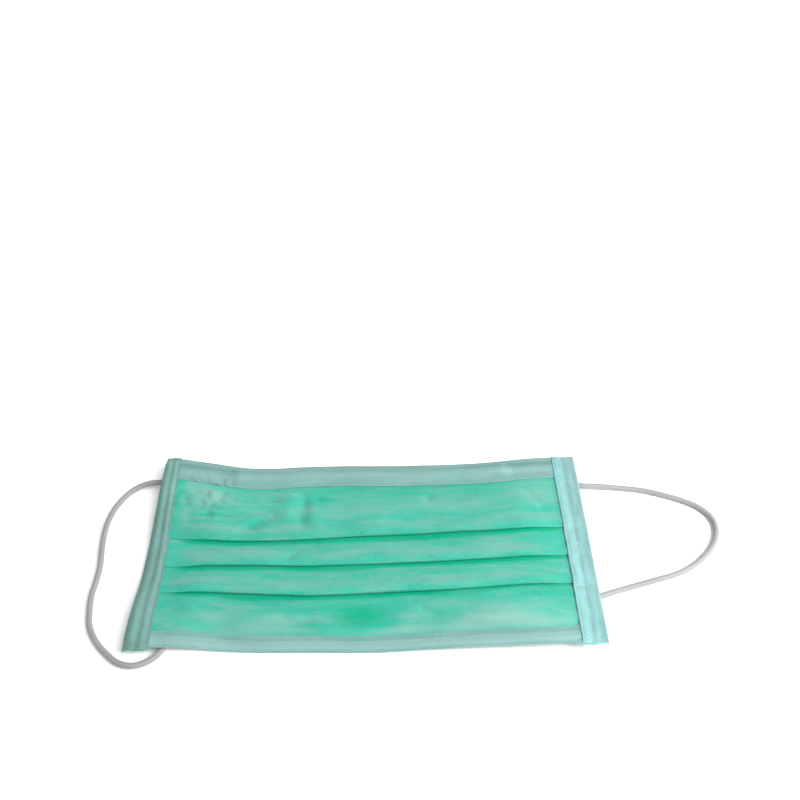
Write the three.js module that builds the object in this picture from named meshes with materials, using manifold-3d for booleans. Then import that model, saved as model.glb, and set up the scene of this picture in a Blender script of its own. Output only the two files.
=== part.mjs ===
// A pleated surgical face mask that lies flat, outer side up, with its two ear loops on the same surface.
// Millimetres. X runs along the mask, +Y points to its nose edge and +Z up. z = 0 is the surface it lies on.
// Every piece is first drawn on a flat mask, at a height w above the surface, and then lifted by lay(x, y).
import * as THREE from "three";
import { mergeVertices } from "three/addons/utils/BufferGeometryUtils.js";
import Module from "manifold-3d";

// Driving sizes
const MASK_LENGTH = 175;
const MASK_HEIGHT = 93;
const CLOTH = 1.0; // the three plies together
const GAP = 0.3; // between two pieces, and between the layers of a pleat
const PLEAT_DEPTH = 8;
const TOP_HEM_HEIGHT = 11;
const BOTTOM_HEM_HEIGHT = 6.5;
const BINDING_WIDTH = 8.2;
const NOSE_WIRE = { length: 110, width: 3.5, thickness: 1.0, belowEdge: 6.5, ridge: 0.5 };
const BOTTOM_WELD = { width: 0.8, aboveEdge: 3.6, depth: 0.3 };
const BINDING_WELD = { width: 0.4, depth: 0.35 };
const CORD_DIAMETER = 2.4;
const SOFT_CORNER = 0.5; // on every folded edge

// Heights of the middle of the lowest, middle and top layer of a pleat
const LAYER_STEP = CLOTH + GAP;
const LOW = CLOTH / 2;
const MID = LOW + LAYER_STEP;
const HIGH = MID + LAYER_STEP;
const STACK = HIGH + CLOTH / 2;
const FOLD_OUTER = LAYER_STEP / 2 + CLOTH / 2;
const WELDED_EDGE = [MID - CLOTH / 2, MID + CLOTH / 2];

// Places along the length and height
const END = MASK_LENGTH / 2;
const BINDING_INNER = END - BINDING_WIDTH;
const PANEL_END = BINDING_INNER - GAP;
const EDGE = MASK_HEIGHT / 2;
const PANEL_IN_TOP_HEM = 2.4;
const SEAM_WIDTH = 1.0; // of the bar that closes the layers beside each binding
const CLEAR = 0.4; // of a thing inside or beside another, where nothing shows

// Pitch of the sections along X and along Y
const PITCH_X = 6.3;
const PITCH_Y = 6;

// The outline and the folded edge of each pleat, at four places along the mask
const SECTIONS = [
  { x: -79, far: 46.4, first: 5.8, second: -8.2, third: -21.3, near: -46.4 },
  { x: -42, far: 45.4, first: 4.1, second: -8.6, third: -22.3, near: -45.9 },
  { x: 12, far: 46.4, first: 6.3, second: -7.5, third: -21.8, near: -46.2 },
  { x: 79, far: 46.4, first: 5.9, second: -8.3, third: -22.1, near: -46.4 },
];

// How far the mask curls up off the surface. A curl with no Y range takes the whole height.
const CURLS = [
  { place: "right end", rise: 5.4, flatAtX: 4, fullAtX: 85 },
  { place: "far left corner", rise: 5.2, flatAtX: -48, fullAtX: -86, flatAtY: -8, fullAtY: 42 },
  { place: "near left corner", rise: 3.2, flatAtX: -50, fullAtX: -72, flatAtY: -10, fullAtY: -35 },
];

// Soft bulges and dents of the upper layer, each a round hill with its reach along X and Y
const PUFFS = [
  { place: "crease beside the left binding", x: -64, y: 19, reachX: 16, reachY: 5, rise: 1.0 },
  { place: "soft fold across the upper panel", x: -27, y: 22, reachX: 7, reachY: 11, rise: 0.9 },
  { place: "upper panel", x: 34, y: 24, reachX: 32, reachY: 10, rise: 0.8 },
  { place: "left of the lower panel", x: -46, y: -31, reachX: 20, reachY: 6, rise: 1.0 },
  { place: "dent in the lower panel", x: -4, y: -31, reachX: 12, reachY: 6, rise: -0.5 },
  { place: "right of the lower panel", x: 46, y: -31, reachX: 24, reachY: 6, rise: 1.0 },
];

// Routes of the two cords: from the weld under the binding's far end, round, and back under its near end
const RIGHT_LOOP = [
  { x: 83.2, y: 39.0, z: 3.9 },
  { x: 84.6, y: 35.6, z: 3.9 },
  { x: 88.8, y: 33.4, z: 3.5 },
  { x: 95.0, y: 33.9, z: 2.4 },
  { x: 101.5, y: 33.6, z: 1.6 },
  { x: 108.0, y: 32.8, z: 1.25 },
  { x: 116.0, y: 31.1, z: 1.25 },
  { x: 124.0, y: 28.7, z: 1.25 },
  { x: 131.0, y: 26.0, z: 1.25 },
  { x: 136.5, y: 22.3, z: 1.25 },
  { x: 139.8, y: 17.6, z: 1.25 },
  { x: 140.6, y: 12.6, z: 1.25 },
  { x: 139.6, y: 7.6, z: 1.25 },
  { x: 136.6, y: 2.0, z: 1.25 },
  { x: 132.0, y: -3.0, z: 1.25 },
  { x: 126.5, y: -7.4, z: 1.25 },
  { x: 120.0, y: -11.1, z: 1.25 },
  { x: 112.5, y: -13.8, z: 1.25 },
  { x: 105.0, y: -16.4, z: 1.25 },
  { x: 98.0, y: -19.1, z: 1.6 },
  { x: 91.5, y: -22.0, z: 2.5 },
  { x: 86.6, y: -25.2, z: 3.5 },
  { x: 83.9, y: -29.6, z: 3.9 },
  { x: 83.2, y: -34.6, z: 3.9 },
];
const LEFT_LOOP = [
  { x: -82.9, y: 43.8, z: 3.6 },
  { x: -84.2, y: 39.8, z: 3.6 },
  { x: -87.8, y: 37.2, z: 3.4 },
  { x: -93.3, y: 37.3, z: 2.7 },
  { x: -97.6, y: 36.5, z: 1.9 },
  { x: -101.6, y: 33.6, z: 1.35 },
  { x: -104.7, y: 28.8, z: 1.25 },
  { x: -107.0, y: 23.0, z: 1.25 },
  { x: -108.2, y: 16.0, z: 1.25 },
  { x: -108.1, y: 8.5, z: 1.25 },
  { x: -107.2, y: 1.0, z: 1.25 },
  { x: -106.1, y: -6.5, z: 1.25 },
  { x: -106.0, y: -13.5, z: 1.25 },
  { x: -106.3, y: -20.5, z: 1.25 },
  { x: -105.4, y: -27.5, z: 1.25 },
  { x: -103.3, y: -34.5, z: 1.25 },
  { x: -99.4, y: -40.4, z: 1.25 },
  { x: -94.4, y: -45.4, z: 1.25 },
  { x: -88.6, y: -49.1, z: 1.25 },
  { x: -82.8, y: -50.2, z: 1.25 },
  { x: -77.8, y: -48.2, z: 1.25 },
  { x: -74.5, y: -44.8, z: 1.25 },
  { x: -73.8, y: -40.6, z: 1.3 },
  { x: -76.0, y: -37.2, z: 1.4 },
  { x: -79.8, y: -36.0, z: 1.55 },
  { x: -85.0, y: -36.4, z: 1.65 },
];

// Materials
const PANEL_GREEN = new THREE.MeshStandardMaterial({ name: "panel", color: "#4fc9a4", roughness: 0.85 });
const HEM_GREEN = new THREE.MeshStandardMaterial({ name: "hem", color: "#8fcdb9", roughness: 0.85 });
const BINDING_AQUA = new THREE.MeshStandardMaterial({ name: "binding", color: "#a3ded2", roughness: 0.8 });
const CORD_WHITE = new THREE.MeshStandardMaterial({ name: "elastic", color: "#dfe2e4", roughness: 0.9 });
const WIRE_WHITE = new THREE.MeshStandardMaterial({ name: "wire", color: "#eceeea", roughness: 0.5 });

// A smooth ramp from 0 at flat to 1 at full, in either direction
function ramp(value, flat, full) {
  const share = THREE.MathUtils.clamp((value - flat) / (full - flat), 0, 1);
  return share * share * (3 - 2 * share);
}

// How far the flat mask is lifted at a place
function lay(x, y) {
  return CURLS.reduce((height, curl) => {
    const along = ramp(x, curl.flatAtX, curl.fullAtX);
    const across = curl.flatAtY === undefined ? 1 : ramp(y, curl.flatAtY, curl.fullAtY);
    return height + curl.rise * along * across;
  }, 0);
}

// How far the upper layer stands up at a place
function puff(x, y) {
  return PUFFS.reduce((height, hill) => {
    const u = (x - hill.x) / hill.reachX;
    const v = (y - hill.y) / hill.reachY;
    return height + hill.rise * Math.exp(-(u * u + v * v));
  }, 0);
}

// The outline and the folded edges at x, read smoothly between the rows of SECTIONS
function sectionAt(x) {
  const next = SECTIONS.findIndex((row) => row.x >= x);
  const to = SECTIONS[Math.max(next < 0 ? SECTIONS.length - 1 : next, 1)];
  const from = SECTIONS[SECTIONS.indexOf(to) - 1];
  const share = ramp(x, from.x, to.x);
  const between = (column) => THREE.MathUtils.lerp(from[column], to[column], share);
  return {
    far: between("far"),
    near: between("near"),
    folds: [between("first"), between("second"), between("third")],
  };
}

// Even places from one value to another, both included
function spaced(from, to, pitch) {
  const steps = Math.ceil(Math.abs(to - from) / pitch);
  return Array.from({ length: steps + 1 }, (_, i) => from + ((to - from) * i) / steps);
}

// The closed skin through rings of points, each ring one section, with both ends closed
function loft(rings, outline) {
  const count = outline.length;
  const positions = rings.flat().flatMap((point) => [point.x, point.y, point.z]);
  const index = [];
  for (let ring = 0; ring + 1 < rings.length; ring++) {
    for (let i = 0; i < count; i++) {
      const a = ring * count + i;
      const b = ring * count + ((i + 1) % count);
      index.push(a, b, b + count, a, b + count, a + count);
    }
  }
  const cap = THREE.ShapeUtils.triangulateShape(
    outline.map(([u, w]) => new THREE.Vector2(u, w)),
    [],
  );
  const last = (rings.length - 1) * count;
  const clockwise = THREE.ShapeUtils.area(outline.map(([u, w]) => new THREE.Vector2(u, w))) < 0;
  for (const triangle of cap) {
    const [a, b, c] = clockwise ? [...triangle].reverse() : triangle;
    index.push(c, b, a, last + a, last + b, last + c);
  }
  return facingOut(positions, index);
}

// Turns every triangle round where the skin encloses a negative volume
function facingOut(positions, index) {
  const at = (i) => new THREE.Vector3().fromArray(positions, 3 * i);
  let volume = 0;
  for (let i = 0; i < index.length; i += 3) {
    volume += at(index[i]).dot(at(index[i + 1]).cross(at(index[i + 2])));
  }
  if (volume < 0) index.reverse();
  const geometry = new THREE.BufferGeometry();
  geometry.setAttribute("position", new THREE.Float32BufferAttribute(positions, 3));
  geometry.setIndex(index);
  return geometry;
}

// A piece drawn by its section in Y and height, at places along X
function alongX(places, outlineAt) {
  const rings = places.map((x) => outlineAt(x).map(([y, w]) => new THREE.Vector3(x, y, w + lay(x, y))));
  return loft(rings, outlineAt(places[0]));
}

// A piece drawn by its section in X and height, at places along Y
function alongY(places, outline) {
  const rings = places.map((y) => outline.map(([x, w]) => new THREE.Vector3(x, y, w + lay(x, y))));
  return loft(rings, outline);
}

const wasm = await Module();
wasm.setup();

function toSolid(geometry) {
  const merged = mergeVertices(geometry, 1e-4);
  return new wasm.Manifold(
    new wasm.Mesh({
      numProp: 3,
      vertProperties: new Float32Array(merged.attributes.position.array),
      triVerts: new Uint32Array(merged.index.array),
    }),
  );
}

function joined(geometries) {
  const solid = geometries.map(toSolid).reduce((all, one) => all.add(one));
  const mesh = solid.getMesh();
  const geometry = new THREE.BufferGeometry();
  geometry.setAttribute("position", new THREE.BufferAttribute(mesh.vertProperties, 3));
  geometry.setIndex(new THREE.BufferAttribute(mesh.triVerts, 1));
  return geometry;
}

// The middle line of the folded panel at x, from the top hem to the bottom hem
function foldLine(x) {
  const { far, near, folds } = sectionAt(x);
  const line = [];
  const add = (y, w) => line.push([y, w]);
  const climb = (to, steps) => {
    const [y, w] = line.at(-1);
    for (let i = 1; i <= steps; i++) {
      add(THREE.MathUtils.lerp(y, to[0], i / steps), THREE.MathUtils.lerp(w, to[1], ramp(i, 0, steps)));
    }
  };
  const turn = (y, w, side) => {
    for (const degrees of [90, 30, -30, -90]) {
      const angle = THREE.MathUtils.degToRad(degrees);
      add(y + (side * Math.cos(angle) * LAYER_STEP) / 2, w + (Math.sin(angle) * LAYER_STEP) / 2);
    }
  };
  const hemLine = far - TOP_HEM_HEIGHT;
  add(hemLine + PANEL_IN_TOP_HEM, MID);
  add(hemLine - CLEAR, MID);
  folds.forEach((edge, i) => {
    const back = edge + PLEAT_DEPTH;
    climb([back + CLEAR, HIGH], i === 0 ? 5 : 3);
    add((back + edge) / 2, HIGH);
    turn(edge + FOLD_OUTER, (HIGH + MID) / 2, -1);
    turn(back - FOLD_OUTER, (MID + LOW) / 2, 1);
    add(edge + CLOTH, LOW);
    add(edge - CLOTH, LOW);
  });
  climb([near + BOTTOM_HEM_HEIGHT + CLEAR, MID], 4);
  add(near + CLOTH + GAP, MID);
  return line;
}

// The wall around a middle line: both sides of it, half a cloth away, as one closed outline
function wallAround(line) {
  const points = line.map(([y, w]) => new THREE.Vector2(y, w));
  const directions = points.slice(1).map((point, i) => point.clone().sub(points[i]).normalize());
  const side = (sign) =>
    points.map((point, i) => {
      const before = directions[Math.max(i - 1, 0)];
      const after = directions[Math.min(i, directions.length - 1)];
      const along = before.clone().add(after).normalize();
      const reach = (sign * CLOTH) / 2 / along.dot(after);
      return [point.x - along.y * reach, point.y + along.x * reach];
    });
  return [...side(1), ...side(-1).reverse()];
}

// The folded panel's wall at x, with its upper layers puffed up
function panelOutline(x) {
  return wallAround(foldLine(x)).map(([y, w]) => {
    const share = THREE.MathUtils.clamp((w - LOW) / (HIGH - LOW), 0, 1);
    return [y, w + share * puff(x, y)];
  });
}

function rectangle(uFrom, uTo, wFrom, wTo) {
  return [
    [uFrom, wFrom],
    [uTo, wFrom],
    [uTo, wTo],
    [uFrom, wTo],
  ];
}

// The pleated panel, with a seam bar that closes the layers at each end and a thin welded edge beyond it
function makePanel() {
  const cut = PANEL_END - SEAM_WIDTH / 2;
  const betweenHems = spaced(-EDGE + BOTTOM_HEM_HEIGHT + CLEAR, EDGE - TOP_HEM_HEIGHT - CLEAR, PITCH_Y);
  const wholeHeight = spaced(-EDGE + CLEAR, EDGE - CLEAR, PITCH_Y);
  const reach = END - CLOTH - GAP;
  const pieces = [alongX(spaced(-cut, cut, PITCH_X), panelOutline)];
  for (const sign of [-1, 1]) {
    const seam = rectangle(sign * (PANEL_END - SEAM_WIDTH), sign * PANEL_END, LOW, HIGH);
    const neck = rectangle(sign * cut, sign * (BINDING_INNER + SEAM_WIDTH), ...WELDED_EDGE);
    const edge = rectangle(sign * BINDING_INNER, sign * reach, ...WELDED_EDGE);
    pieces.push(alongY(betweenHems, seam), alongY(betweenHems, neck), alongY(wholeHeight, edge));
  }
  return joined(pieces);
}

// A strip folded over an edge: a U whose fold is at `edge` and whose two plies reach to `open`.
// The upper ply stands up, or is pressed down, by crest.rise between crest.from and crest.to.
function foldedStrip(edge, open, crest) {
  const out = Math.sign(edge - open);
  const inside = edge - out * CLOTH;
  const outerShoulder = crest.to + out * SOFT_CORNER;
  const innerShoulder = crest.from - out * SOFT_CORNER;
  return [
    [open, 0],
    [edge - out * SOFT_CORNER, 0],
    [edge, SOFT_CORNER],
    [edge, STACK - SOFT_CORNER],
    [edge - out * SOFT_CORNER, STACK],
    [outerShoulder, STACK],
    [crest.to, STACK + crest.rise],
    [crest.from, STACK + crest.rise],
    [innerShoulder, STACK],
    [open, STACK],
    [open, STACK - CLOTH],
    [innerShoulder, STACK - CLOTH],
    [crest.from, STACK - CLOTH + Math.max(crest.rise, 0)],
    [crest.to, STACK - CLOTH + Math.max(crest.rise, 0)],
    [outerShoulder, STACK - CLOTH],
    [inside, STACK - CLOTH],
    [inside, CLOTH],
    [open, CLOTH],
  ];
}

// The top hem stands up in a ridge over the nose wire, which runs out just past the wire's ends
function makeTopHem() {
  const wireEnd = NOSE_WIRE.length / 2;
  return alongX(spaced(-PANEL_END, PANEL_END, PITCH_X), (x) => {
    const { far } = sectionAt(x);
    const middle = far - NOSE_WIRE.belowEdge;
    const rise = NOSE_WIRE.ridge * ramp(Math.abs(x), wireEnd + PITCH_X, wireEnd);
    const crest = { from: middle - NOSE_WIRE.width / 2, to: middle + NOSE_WIRE.width / 2, rise };
    return foldedStrip(far, far - TOP_HEM_HEIGHT, crest);
  });
}

function makeBottomHem() {
  return alongX(spaced(-PANEL_END, PANEL_END, PITCH_X), (x) => {
    const { near } = sectionAt(x);
    const middle = near + BOTTOM_WELD.aboveEdge;
    const halfWeld = BOTTOM_WELD.width / 2;
    const crest = { from: middle + halfWeld, to: middle - halfWeld, rise: -BOTTOM_WELD.depth };
    return foldedStrip(near, near + BOTTOM_HEM_HEIGHT, crest);
  });
}

function makeNoseWire() {
  const half = NOSE_WIRE.length / 2;
  const bottom = CLOTH + GAP;
  return alongX(spaced(-half, half, PITCH_X), (x) => {
    const from = sectionAt(x).far - NOSE_WIRE.belowEdge - NOSE_WIRE.width / 2;
    return rectangle(from, from + NOSE_WIRE.width, bottom, bottom + NOSE_WIRE.thickness);
  });
}

// A tape folded round an end of the mask, with a weld groove along the middle of its upper ply
function makeBinding(sign) {
  const outer = sign * END;
  const inner = sign * BINDING_INNER;
  const fromInner = (distance) => inner + sign * distance;
  const middle = BINDING_WIDTH / 2;
  const halfWeld = BINDING_WELD.width / 2;
  const outline = [
    [inner, 0],
    [outer - sign * SOFT_CORNER, 0],
    [outer, SOFT_CORNER],
    [outer, STACK - SOFT_CORNER],
    [outer - sign * SOFT_CORNER, STACK],
    [fromInner(middle + halfWeld + SOFT_CORNER), STACK],
    [fromInner(middle + halfWeld), STACK - BINDING_WELD.depth],
    [fromInner(middle - halfWeld), STACK - BINDING_WELD.depth],
    [fromInner(middle - halfWeld - SOFT_CORNER), STACK],
    [inner, STACK],
    [inner, STACK - CLOTH],
    [outer - sign * CLOTH, STACK - CLOTH],
    [outer - sign * CLOTH, CLOTH],
    [inner, CLOTH],
  ];
  return alongY(spaced(-EDGE, EDGE, PITCH_Y), outline);
}

// A round cord along a smooth curve through its route
function makeCord(route) {
  const radius = CORD_DIAMETER / 2;
  const corners = 8;
  const steps = 44;
  const section = new THREE.Shape(
    Array.from({ length: corners }, (_, i) => {
      const angle = (2 * Math.PI * (i + 0.5)) / corners;
      return new THREE.Vector2(radius * Math.cos(angle), radius * Math.sin(angle));
    }),
  );
  const points = route.map(({ x, y, z }) => new THREE.Vector3(x, y, z));
  const path = new THREE.CatmullRomCurve3(points, false, "centripetal");
  return new THREE.ExtrudeGeometry(section, { steps, extrudePath: path, bevelEnabled: false });
}

const mask = new THREE.Group();

function addPiece(name, geometry, material) {
  const mesh = new THREE.Mesh(geometry, material);
  mesh.name = name;
  mask.add(mesh);
}

addPiece("pleated_panel", makePanel(), PANEL_GREEN);
addPiece("top_hem", makeTopHem(), HEM_GREEN);
addPiece("nose_wire", makeNoseWire(), WIRE_WHITE);
addPiece("bottom_hem", makeBottomHem(), HEM_GREEN);
addPiece("left_side_binding", makeBinding(-1), BINDING_AQUA);
addPiece("right_side_binding", makeBinding(1), BINDING_AQUA);
addPiece("left_ear_loop", makeCord(LEFT_LOOP), CORD_WHITE);
addPiece("right_ear_loop", makeCord(RIGHT_LOOP), CORD_WHITE);

export default mask;
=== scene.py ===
"""A pleated surgical face mask that lies flat: its cloth, hems, edge tapes and ear loops, fitted to its solids."""

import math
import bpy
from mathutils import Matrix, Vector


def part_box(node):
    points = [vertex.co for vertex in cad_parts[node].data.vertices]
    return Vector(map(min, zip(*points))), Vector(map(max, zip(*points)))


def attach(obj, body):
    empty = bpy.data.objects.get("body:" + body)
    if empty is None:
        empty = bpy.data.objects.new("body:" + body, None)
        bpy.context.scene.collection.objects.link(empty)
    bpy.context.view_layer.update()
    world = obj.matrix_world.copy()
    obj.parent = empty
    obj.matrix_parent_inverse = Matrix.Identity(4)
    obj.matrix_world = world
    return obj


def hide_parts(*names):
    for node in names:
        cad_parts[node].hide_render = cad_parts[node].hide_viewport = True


bl_info = {
    "name": "Pleated Face Mask",
    "version": (1, 0, 0),
    "blender": (4, 5, 0),
    "location": "View3D > Sidebar > Face Mask",
    "description": "Builds the folded cloth, hems, edge tapes and ear loops of a pleated face mask",
    "category": "Object",
}

import bpy
import numpy as np
from bpy.props import FloatProperty, FloatVectorProperty, PointerProperty
from mathutils import Matrix, Vector, noise

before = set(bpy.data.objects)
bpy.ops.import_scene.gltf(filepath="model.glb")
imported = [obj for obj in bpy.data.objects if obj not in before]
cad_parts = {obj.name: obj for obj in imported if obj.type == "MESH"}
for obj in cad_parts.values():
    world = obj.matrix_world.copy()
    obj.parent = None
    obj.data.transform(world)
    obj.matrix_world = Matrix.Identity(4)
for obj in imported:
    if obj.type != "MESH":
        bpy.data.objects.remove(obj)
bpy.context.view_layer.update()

# All lengths are in metres. X runs along the mask, +Y points to its nose edge and +Z up, with 0 on the table.
# Each piece is drawn on a flat mask, at a height w above the table, and then lifted by lay(x, y).
MASK_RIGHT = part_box("right_side_binding")[1].x
PANEL_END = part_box("top_hem")[1].x
TAPE_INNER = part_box("right_side_binding")[0].x

# Lines across the mask, each as points (x, y)
FAR_EDGE = (
    (-0.079, 0.048), (-0.069, 0.0476), (-0.058, 0.0467), (-0.041, 0.0465), (-0.034, 0.047), (-0.027, 0.0476),
    (-0.015, 0.0479), (0.008, 0.0478), (0.022, 0.0474), (0.036, 0.0467), (0.05, 0.0461), (0.059, 0.0465),
    (0.07, 0.0477), (0.079, 0.0474),
)
NEAR_EDGE = (
    (-0.079, -0.0455), (-0.07, -0.0453), (-0.056, -0.045), (-0.048, -0.0455), (-0.04, -0.0459), (0.003, -0.0461),
    (0.01, -0.0459), (0.016, -0.0454), (0.043, -0.0453), (0.06, -0.0458), (0.07, -0.0456), (0.079, -0.0451),
)
FOLD_EDGES = (
    (
        (-0.079, 0.0067), (-0.055, 0.0052), (-0.035, 0.0054), (-0.023, 0.006), (-0.001, 0.0077), (0.034, 0.0082),
        (0.048, 0.0075), (0.069, 0.008), (0.079, 0.0078),
    ),
    (
        (-0.079, -0.0069), (-0.061, -0.0068), (-0.042, -0.007), (-0.023, -0.0076), (0.011, -0.0063), (0.033, -0.0064),
        (0.054, -0.0067), (0.079, -0.0064),
    ),
    (
        (-0.079, -0.0202), (-0.059, -0.02), (-0.041, -0.0209), (-0.022, -0.0219), (0.011, -0.0203), (0.033, -0.0202),
        (0.05, -0.02), (0.079, -0.02),
    ),
)

# How far the mask curls up off the table: rise, then where it starts and is full along X and, if given, along Y
CURLS = (
    {"rise": 0.0054, "x": (0.004, 0.085)},
    {"rise": 0.0052, "x": (-0.048, -0.086), "y": (-0.008, 0.042)},
    {"rise": 0.0032, "x": (-0.050, -0.072), "y": (-0.010, -0.035)},
)

# Soft bulges and dents of the upper layer: middle (x, y), reach along X and Y, rise
BULGES = (
    (-0.066, 0.024, 0.01, 0.006, 0.0011), (-0.064, 0.012, 0.013, 0.004, 0.0009),
    (-0.05, 0.0285, 0.011, 0.004, 0.0007), (-0.034, 0.026, 0.005, 0.009, 0.001), (-0.023, 0.02, 0.005, 0.012, 0.0008),
    (0.01, 0.024, 0.016, 0.008, 0.0006), (0.045, 0.025, 0.022, 0.008, 0.0009), (-0.046, 0.012, 0.009, 0.004, 0.0008),
    (-0.055, -0.001, 0.012, 0.003, 0.0005), (0.01, 0.002, 0.02, 0.003, 0.0004), (-0.04, -0.013, 0.014, 0.003, 0.0005),
    (0.052, -0.013, 0.016, 0.003, 0.0004), (-0.046, -0.032, 0.02, 0.006, 0.0011),
    (-0.004, -0.031, 0.013, 0.006, -0.0006), (0.046, -0.031, 0.024, 0.006, 0.0012),
)

# Finely puckered patches: middle (x, y), reach, rise
PUCKERS = (
    (-0.071, 0.03, 0.014, 0.0026), (-0.076, -0.04, 0.008, 0.0014), (-0.026, -0.003, 0.006, 0.0005),
    (0.014, 0.0, 0.008, 0.0004),
)

# Creases of the cloth: the points (x, y) they run through, half width, rise
CREASES = (
    (((-0.079, 0.0182), (-0.069, 0.0178), (-0.061, 0.0184), (-0.052, 0.0178)), 0.0013, -0.0009),
    (((-0.078, 0.014), (-0.069, 0.0134), (-0.059, 0.014)), 0.0011, -0.0005),
    (((-0.079, 0.033), (-0.074, 0.0345), (-0.0695, 0.0325)), 0.0016, -0.0005),
    (((-0.076, 0.029), (-0.0715, 0.03), (-0.069, 0.0265), (-0.0705, 0.0235)), 0.0014, -0.0004),
    (((-0.079, 0.024), (-0.075, 0.0255)), 0.0014, -0.0006),
    (((-0.062, 0.03), (-0.0585, 0.027), (-0.048, 0.0262), (-0.035, 0.0272)), 0.0014, -0.0007),
    (((-0.059, 0.0228), (-0.048, 0.0238), (-0.036, 0.024)), 0.0012, 0.0006),
    (((-0.052, 0.009), (-0.047, 0.0122), (-0.043, 0.0165), (-0.037, 0.0195)), 0.0026, -0.0014),
    (((-0.054, 0.017), (-0.047, 0.0192), (-0.04, 0.0225)), 0.0013, -0.0005),
    (((-0.029, 0.032), (-0.0272, 0.025), (-0.0278, 0.018), (-0.0262, 0.0105)), 0.0027, -0.0009),
    (((-0.0215, 0.03), (-0.0205, 0.0255)), 0.0022, -0.0006),
    (((0.0245, 0.029), (0.025, 0.025)), 0.0016, -0.0007),
    (((0.006, 0.0152), (0.02, 0.0145), (0.037, 0.0126)), 0.0012, -0.0004),
    (((-0.0262, 0.003), (-0.0285, -0.001), (-0.0325, -0.0042)), 0.0014, -0.0008),
    (((-0.045, -0.01), (-0.04, -0.013), (-0.032, -0.0165)), 0.0016, -0.0006),
    (((-0.079, -0.001), (-0.069, 0.0006), (-0.06, -0.0006)), 0.0012, -0.0005),
    (((0.012, 0.0022), (0.023, 0.0026), (0.034, 0.0004)), 0.0012, -0.0005),
    (((0.022, -0.01), (0.028, -0.013), (0.035, -0.014)), 0.0014, -0.0006),
    (((-0.074, -0.028), (-0.068, -0.0315), (-0.062, -0.032)), 0.002, -0.0008),
    (((-0.033, -0.0318), (-0.0265, -0.0332), (-0.019, -0.0322)), 0.0016, -0.0008),
    (((0.02, -0.027), (0.0235, -0.03), (0.027, -0.031)), 0.0016, -0.0006),
    (((0.033, -0.033), (0.044, -0.0352), (0.056, -0.0356)), 0.0018, 0.0005),
    (((0.064, 0.03), (0.069, 0.0225), (0.0715, 0.015)), 0.0016, -0.0006),
    (((0.06, -0.025), (0.068, -0.028), (0.076, -0.0275)), 0.0016, -0.0005),
)

# Patches of painted shade, and of painted highlight where the share is negative: middle (x, y), reach along X and Y,
# share
SHADE_PATCHES = (
    (-0.003, -0.0312, 0.013, 0.0055, 0.85), (-0.062, 0.0182, 0.011, 0.0016, 0.55),
    (-0.045, 0.013, 0.004, 0.0035, 0.35), (-0.02, 0.0275, 0.005, 0.005, 0.35), (0.012, 0.0064, 0.03, 0.0018, 0.95),
    (-0.043, -0.0224, 0.012, 0.0016, 0.9), (-0.01, -0.0086, 0.01, 0.0014, 0.85), (0.036, -0.022, 0.01, 0.0018, 0.55),
    (0.05, -0.033, 0.03, 0.007, -0.75), (-0.05, -0.0345, 0.028, 0.005, -0.7), (0.064, -0.0224, 0.02, 0.0024, 0.2),
    (-0.071, 0.0285, 0.015, 0.009, -0.8), (-0.049, 0.0315, 0.012, 0.004, -0.55), (0.02, 0.0338, 0.06, 0.0026, 0.22),
    (-0.046, -0.001, 0.018, 0.003, -0.45), (0.012, 0.001, 0.016, 0.0025, -0.45),
    (-0.0765, 0.0235, 0.006, 0.012, -0.65), (0.066, 0.03, 0.014, 0.005, -0.5), (0.029, -0.0295, 0.01, 0.0055, -0.5),
)

# Routes of the two cords: from the weld under the tape's far end, round, and back under its near end
RIGHT_LOOP = (
    (0.0832, 0.039, 0.0039), (0.0846, 0.0352, 0.0039), (0.0888, 0.0334, 0.0035), (0.095, 0.0339, 0.0024),
    (0.1015, 0.034, 0.0016), (0.108, 0.0335, 0.00125), (0.116, 0.0321, 0.00125), (0.124, 0.0294, 0.00125),
    (0.131, 0.0264, 0.00125), (0.1369, 0.0225, 0.00125), (0.1405, 0.0177, 0.00125), (0.1414, 0.0126, 0.00125),
    (0.1404, 0.0073, 0.00125), (0.1372, 0.0013, 0.00125), (0.1324, -0.004, 0.00125), (0.1269, -0.0084, 0.00125),
    (0.1202, -0.012, 0.00125), (0.1125, -0.0145, 0.00125), (0.105, -0.0169, 0.00125), (0.098, -0.0194, 0.0016),
    (0.0915, -0.0222, 0.0025), (0.0866, -0.0253, 0.0035), (0.0839, -0.0296, 0.0039), (0.0832, -0.0346, 0.0039),
)
LEFT_LOOP = (
    (-0.0829, 0.0438, 0.0036), (-0.0842, 0.0398, 0.0036), (-0.0878, 0.037, 0.0034), (-0.093, 0.037, 0.0027),
    (-0.0972, 0.0361, 0.0019), (-0.1011, 0.0332, 0.00135), (-0.104, 0.0286, 0.00125), (-0.1062, 0.023, 0.00125),
    (-0.1073, 0.016, 0.00125), (-0.1072, 0.0085, 0.00125), (-0.1063, 0.001, 0.00125), (-0.1052, -0.0065, 0.00125),
    (-0.105, -0.0135, 0.00125), (-0.1052, -0.0205, 0.00125), (-0.1043, -0.0275, 0.00125), (-0.1026, -0.0345, 0.00125),
    (-0.0991, -0.0406, 0.00125), (-0.0944, -0.0458, 0.00125), (-0.0887, -0.0502, 0.00125),
    (-0.0829, -0.0514, 0.00125), (-0.0777, -0.0494, 0.00125), (-0.0743, -0.0456, 0.00125), (-0.0736, -0.041, 0.0013),
    (-0.076, -0.0374, 0.0014), (-0.0798, -0.0361, 0.00155), (-0.085, -0.0364, 0.00165),
)

# A cord's rings lie this far apart, each with so many points, and its stitches have this length in so many columns
CORD_RING = 0.00028
CORD_COLUMNS = 32
STITCH = 0.0011
STITCH_COLUMNS = 6

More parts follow.
